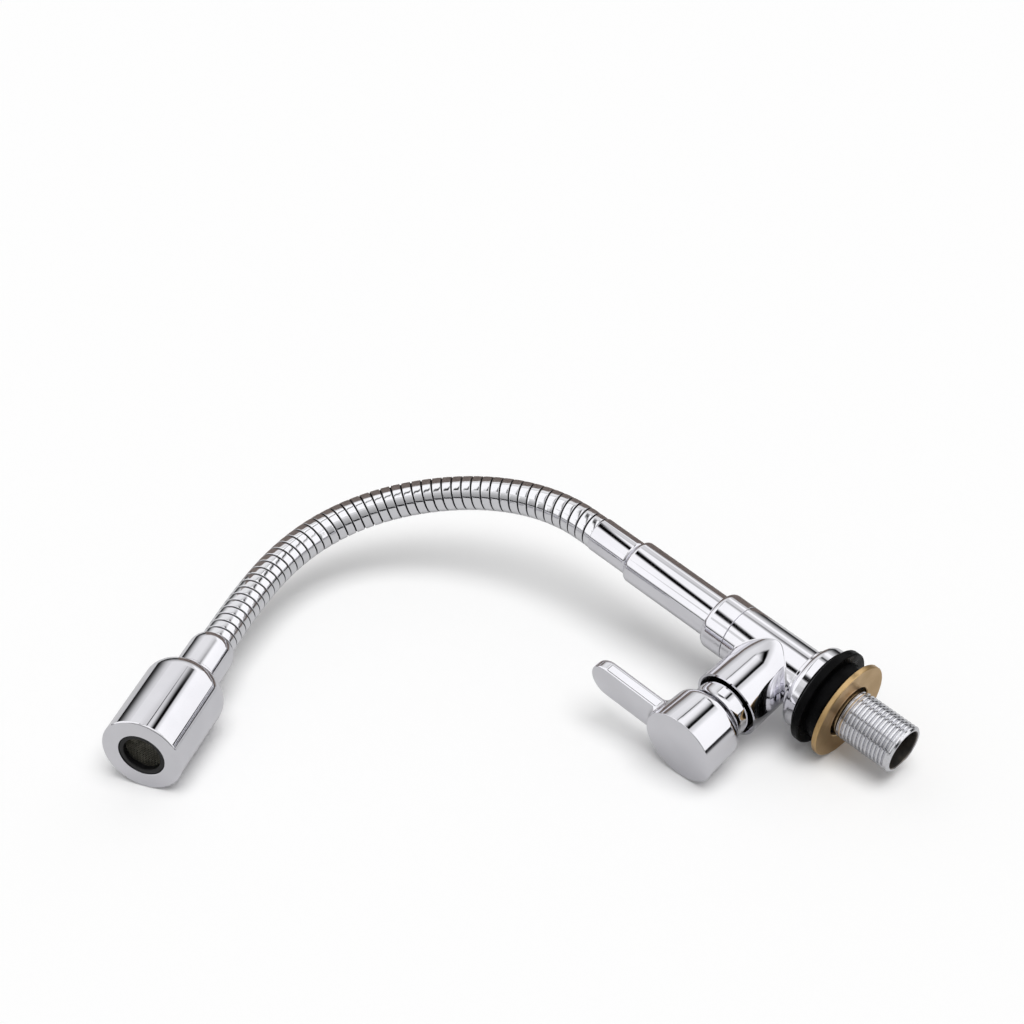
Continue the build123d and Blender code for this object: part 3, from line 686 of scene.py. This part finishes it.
def layFloor():
    # white from above with the tap's shadow on it, and not there at all from below
    made, place, close = stageMaterial("floorPaper")
    isCamera = place.node("LightPath", {}, {}, "Is Camera Ray")
    isGlossy = place.node("LightPath", {}, {}, "Is Glossy Ray")
    # for every ray but the camera's, the paper is painted darker towards the right: painted shade where the
    # overhead light falls off
    shade = place.axis(0).spread(1, floorLook["fade"], floorLook["fadeFrom"], floorLook["fadeTo"])
    mirrored = (shade * floorLook["albedo"]).tint(rgb(0, 0, 0), rgb(1, 1, 1))
    paper = isCamera.tint(mirrored, rgb(*[floorLook["seenAlbedo"]] * 3))
    white = isCamera * floorLook["lift"] + isGlossy * floorLook["liftInChrome"]
    lift = place.node("Emission", {}, {"Color": white.tint(rgb(0, 0, 0), rgb(1, 1, 1))})
    lit = place.node("AddShader", {}, {0: place.node("BsdfDiffuse", {}, {"Color": paper}), 1: lift})
    below = place.node("NewGeometry", {}, {}, "Backfacing")
    close(place.node("MixShader", {}, {0: below, 1: lit, 2: place.node("BsdfTransparent")}))
    left, right, near, far = (floorLook[name] for name in ("left", "right", "near", "far"))
    stageSheet("floor", ((left, near, 0), (right, near, 0), (right, far, 0), (left, far, 0)), made, True)


room = {"left": -1700, "right": 1050, "near": -900, "far": 1600, "top": 1170, "strength": 1.2,
        "sideGlow": 0.94, "leftFoot": 90, "leftLow": 0.5, "leftFull": 300,
        "rightFootNear": 25, "rightFootFar": 345, "rightLow": 0.96,
        "farFoot": 120, "farFrom": 150, "farLow": 0.02, "farGlow": 0.66,
        "nearFoot": 190, "nearLow": 0.3, "nearGlow": 0.5}


def lightSheet(name, corners, shine):
    # a soft sheet that shows in what is polished; shine(side, ahead, height) is its brightness
    made, place, close = stageMaterial(name + "Glow")
    glow = shine(*(place.axis(number) for number in range(3))).tint(rgb(0, 0, 0), rgb(1, 1, 1))
    close(place.node("Emission", {}, {"Color": glow, "Strength": room["strength"]}))
    sheet = stageSheet(name, corners, made, False)
    sheet.visible_diffuse = False
    sheet.visible_shadow = False


# the gap is a dark strip that narrows along its heading; the long gap is the dark strip before the right sheet
overhead = {"gapStart": (-563, -35), "gapHeading": (0.57, 0.82), "gapWide": 1.25, "gapNarrows": 0.0009,
            "gapLeft": (-75, -20), "gapRight": (25, 85), "gapEnd": (960, 1080),
            "nearGlow": 0.93, "farGlow": 0.62, "dims": (655, 745),
            "cornerGlow": 0.12, "cornerFrom": (780, 950), "cornerTo": (-100, 300),
            "edge": (363, 672), "edgeLean": 0.227, "edgeWidensFrom": 233, "edgeWidens": 0.00125,
            "longGap": (-190, -32), "longGapEnd": (700, 860), "rightFrom": (16, 76),
            "rightGlow": (0.64, 0.95), "rightRise": (80, 340)}


def shineOverhead(side, ahead, height):
    startSide, startAhead = overhead["gapStart"]
    headSide, headAhead = overhead["gapHeading"]
    across = (side - startSide) * headAhead - (ahead - startAhead) * headSide
    along = (side - startSide) * headSide + (ahead - startAhead) * headAhead
    across = across / (overhead["gapWide"] - along * overhead["gapNarrows"])
    gap = across.spread(0, 1, *overhead["gapLeft"]) * across.spread(1, 0, *overhead["gapRight"])
    gap = gap * along.spread(1, 0, *overhead["gapEnd"])
    corner = ahead.spread(0, overhead["cornerGlow"], *overhead["cornerFrom"])
    corner = corner * side.spread(1, 0, *overhead["cornerTo"])
    sheet = ahead.spread(overhead["nearGlow"], overhead["farGlow"], *overhead["dims"]) + corner
    edgeSide, edgeAhead = overhead["edge"]
    fromEdge = side - edgeSide + (ahead - edgeAhead) * overhead["edgeLean"]
    scaled = fromEdge / ((ahead - overhead["edgeWidensFrom"]) * overhead["edgeWidens"] + 1)
    longGap = scaled.spread(0, 1, *overhead["longGap"]) * ahead.spread(1, 0, *overhead["longGapEnd"])
    atRight = scaled.spread(0, 1, *overhead["rightFrom"])
    right = fromEdge.spread(*overhead["rightGlow"], *overhead["rightRise"])
    return sheet * (1 - gap) * (1 - longGap) * (1 - atRight) + right * atRight


def hangSheets():
    left, right, near, far, top = (room[name] for name in ("left", "right", "near", "far", "top"))
    glow, leftFoot = room["sideGlow"], room["leftFoot"]
    footNear, footFar = room["rightFootNear"], room["rightFootFar"]
    farFoot, nearFoot = room["farFoot"], room["nearFoot"]
    lightSheet("overheadSheet",
               ((left, near, top), (right, near, top), (right, far, top), (left, far, top)),
               shineOverhead)
    lightSheet("leftSheet",
               ((left, near, leftFoot), (left, near, top), (left, far, top), (left, far, leftFoot)),
               lambda side, ahead, height: height.spread(room["leftLow"] * glow, glow,
                                                         leftFoot, room["leftFull"]))
    lightSheet("rightSheet",
               ((right, near, footNear), (right, near, top), (right, far, top), (right, far, footFar)),
               lambda side, ahead, height: height.spread(room["rightLow"] * glow, glow, footNear, top))
    lightSheet("farSheet",
               ((left, far, farFoot), (right, far, farFoot), (right, far, top), (left, far, top)),
               lambda side, ahead, height: height.spread(room["farLow"], room["farGlow"], room["farFrom"], top))
    lightSheet("nearSheet",
               ((left, near, nearFoot), (right, near, nearFoot), (right, near, top), (left, near, top)),
               lambda side, ahead, height: height.spread(room["nearLow"], room["nearGlow"], nearFoot, top))


card = {"left": (-54.7, -91.5, 294.0), "right": (-53.1, 107.6, 78.8), "tall": 89.5, "deep": 90.0,
        "paper": (0.30, 0.25, 0.225)}


def standCard():
    # a warm card stands behind the tap, out of the camera's sight, and warms the chrome's far sides
    made, place, close = stageMaterial("warmCardPaper")
    close(place.node("BsdfDiffuse", {}, {"Color": rgb(*card["paper"])}))
    left, right = (Vector(card[name]) * mm for name in ("left", "right"))
    back = floorUp.cross(right - left).normalized() * card["deep"] * mm
    lift = floorUp * card["tall"] * mm
    verts = [left, right, right + lift, left + lift]
    verts += [right + lift + back, left + lift + back, right + back, left + back]
    mesh = bpy.data.meshes.new("warmCard")
    mesh.from_pydata(verts, [], [(0, 1, 2, 3), (3, 2, 4, 5), (1, 6, 4, 2), (7, 0, 3, 5)])
    mesh.materials.append(made)
    sheet = bpy.data.objects.new("warmCard", mesh)
    bpy.context.scene.collection.objects.link(sheet)
    sheet.visible_camera = False
    sheet.visible_diffuse = False
    sheet.visible_shadow = False


key = {"strength": 1.95, "angle": 44.0, "leanAhead": 15.0, "leanLeft": 8.0}


def hangKey():
    # a wide soft lamp nearly straight above gives the shadows, and doesn't show in what is polished
    data = bpy.data.lights.new("overheadKey", "SUN")
    data.energy = key["strength"]
    data.angle = math.radians(key["angle"])
    lamp = bpy.data.objects.new("overheadKey", data)
    leanAhead = Matrix.Rotation(math.radians(key["leanAhead"]), 4, "X")
    leanLeft = Matrix.Rotation(math.radians(key["leanLeft"]), 4, "Y")
    lamp.matrix_world = stageFrame @ (leanAhead @ leanLeft)
    lamp.visible_glossy = False
    bpy.context.scene.collection.objects.link(lamp)


surround = {"fill": 0.40, "gaps": rgb(0.02, 0.02, 0.022)}


def setWorld():
    # white where the camera looks past the floor, an even fill on what is dull, and nearly dark in the gaps
    # that polished metal shows between the sheets
    world = bpy.data.worlds.new("studioWorld")
    bpy.context.scene.world = world
    world.use_nodes = True
    world.node_tree.nodes.clear()
    wire = Wire(world.node_tree)
    isCamera = wire.node("LightPath", {}, {}, "Is Camera Ray")
    isGlossy = wire.node("LightPath", {}, {}, "Is Glossy Ray")
    shade = isCamera.tint(isGlossy.tint(rgb(*[surround["fill"]] * 3), surround["gaps"]), rgb(1, 1, 1))
    wire.node("OutputWorld", {}, {"Surface": wire.node("Background", {}, {"Color": shade})})


view = {"place": (0.74133, -0.47647, -0.29947), "forward": (-0.75199, 0.46658, 0.46564),
        "down": (-0.65907, -0.54487, -0.51841), "lens": 81.914, "sensor": 36, "reach": 20}


def setCamera():
    data = bpy.data.cameras.new("photoCamera")
    data.lens = view["lens"]
    data.sensor_width = view["sensor"]
    data.clip_end = view["reach"]
    eye = bpy.data.objects.new("photoCamera", data)
    back = -Vector(view["forward"]).normalized()
    up = -Vector(view["down"])
    right = up.cross(back).normalized()
    up = back.cross(right)
    turn = Matrix((right, up, back)).transposed().to_4x4()
    eye.matrix_world = Matrix.Translation(view["place"]) @ turn
    bpy.context.scene.collection.objects.link(eye)
    bpy.context.scene.camera = eye
    bpy.context.scene.view_settings.view_transform = "Standard"


layFloor()
hangSheets()
standCard()
hangKey()
setWorld()
setCamera()
print("stage set")
